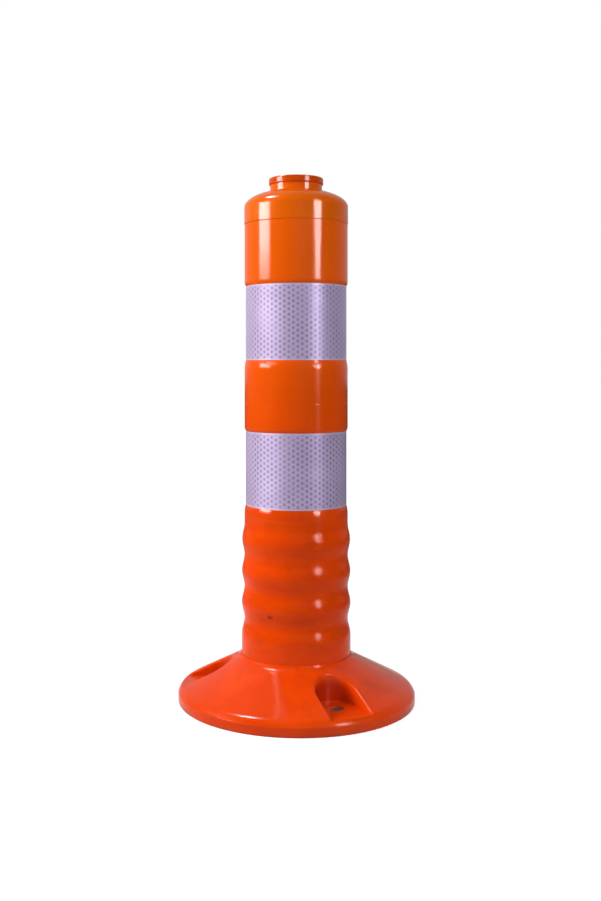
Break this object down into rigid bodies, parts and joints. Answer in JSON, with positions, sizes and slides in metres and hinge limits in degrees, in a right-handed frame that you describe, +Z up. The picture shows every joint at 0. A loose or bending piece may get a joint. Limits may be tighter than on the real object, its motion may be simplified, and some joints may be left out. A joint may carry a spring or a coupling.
{
  "type": "delineator post",
  "caption": "Flexible delineator post: round bolt-down base, hollow orange post that bends in its bellows, two reflective bands, domed cap with a plugged neck.",
  "frame": {"origin": "on the ground, at the middle of the round base, on the post's axis", "axes": "+Z up along the post; -Y is the front; the first bolt pocket points along -X, and the other two are 60 degrees to either side of +X"},
  "size_m": [0.204, 0.204, 0.451],
  "materials": {
    "base_elastomer": "glossy moulded elastomer",
    "post_elastomer": "glossy moulded elastomer",
    "cap_plastic": "glossy moulded plastic",
    "reflective_sheet": "prismatic retroreflective sheet",
    "zinc_plated_steel": "zinc plated"
  },
  "bodies": {
    "base": {"base_flange": "base_elastomer", "base_core_plate": "zinc_plated_steel", "bolt_bush_1": "zinc_plated_steel", "bolt_bush_2": "zinc_plated_steel", "bolt_bush_3": "zinc_plated_steel", "post_foot": "post_elastomer"},
    "ring_1": {"bellows_ring_1": "post_elastomer"},
    "ring_2": {"bellows_ring_2": "post_elastomer"},
    "ring_3": {"bellows_ring_3": "post_elastomer"},
    "ring_4": {"bellows_ring_4": "post_elastomer"},
    "ring_5": {"bellows_ring_5": "post_elastomer"},
    "ring_6": {"bellows_ring_6": "post_elastomer"},
    "ring_7": {"bellows_ring_7": "post_elastomer"},
    "mast": {"post_tube": "post_elastomer", "lower_reflective_band": "reflective_sheet", "upper_reflective_band": "reflective_sheet", "top_cap": "cap_plastic", "neck_plug": "cap_plastic"}
  },
  "joints": [
    {"name": "bend_back_1", "type": "hinge", "parent": "base", "child": "ring_1", "pos_m": [0, 0, 0.0572], "axis": [1, 0, 0], "range_deg": [-15, 15], "stiffness_Nm_per_rad": 80, "deforming": ["bellows_ring_1"]},
    {"name": "bend_side_1", "type": "hinge", "parent": "ring_1", "child": "ring_2", "pos_m": [0, 0, 0.07085], "axis": [0, 1, 0], "range_deg": [-15, 15], "stiffness_Nm_per_rad": 80, "deforming": ["bellows_ring_2"]},
    {"name": "bend_back_2", "type": "hinge", "parent": "ring_2", "child": "ring_3", "pos_m": [0, 0, 0.0845], "axis": [1, 0, 0], "range_deg": [-15, 15], "stiffness_Nm_per_rad": 80, "deforming": ["bellows_ring_3"]},
    {"name": "bend_side_2", "type": "hinge", "parent": "ring_3", "child": "ring_4", "pos_m": [0, 0, 0.09815], "axis": [0, 1, 0], "range_deg": [-15, 15], "stiffness_Nm_per_rad": 80, "deforming": ["bellows_ring_4"]},
    {"name": "bend_back_3", "type": "hinge", "parent": "ring_4", "child": "ring_5", "pos_m": [0, 0, 0.1118], "axis": [1, 0, 0], "range_deg": [-15, 15], "stiffness_Nm_per_rad": 80, "deforming": ["bellows_ring_5"]},
    {"name": "bend_side_3", "type": "hinge", "parent": "ring_5", "child": "ring_6", "pos_m": [0, 0, 0.12545], "axis": [0, 1, 0], "range_deg": [-15, 15], "stiffness_Nm_per_rad": 80, "deforming": ["bellows_ring_6"]},
    {"name": "bend_back_4", "type": "hinge", "parent": "ring_6", "child": "ring_7", "pos_m": [0, 0, 0.1391], "axis": [1, 0, 0], "range_deg": [-15, 15], "stiffness_Nm_per_rad": 80, "deforming": ["bellows_ring_7"]},
    {"name": "bend_side_4", "type": "hinge", "parent": "ring_7", "child": "mast", "pos_m": [0, 0, 0.15275], "axis": [0, 1, 0], "range_deg": [-15, 15], "stiffness_Nm_per_rad": 80}
  ],
  "couplings": [
    {"joint": "bend_back_2", "follows": "bend_back_1", "ratio": 1},
    {"joint": "bend_side_2", "follows": "bend_side_1", "ratio": 1},
    {"joint": "bend_back_3", "follows": "bend_back_1", "ratio": 1},
    {"joint": "bend_side_3", "follows": "bend_side_1", "ratio": 1},
    {"joint": "bend_back_4", "follows": "bend_back_1", "ratio": 1},
    {"joint": "bend_side_4", "follows": "bend_side_1", "ratio": 1}
  ]
}
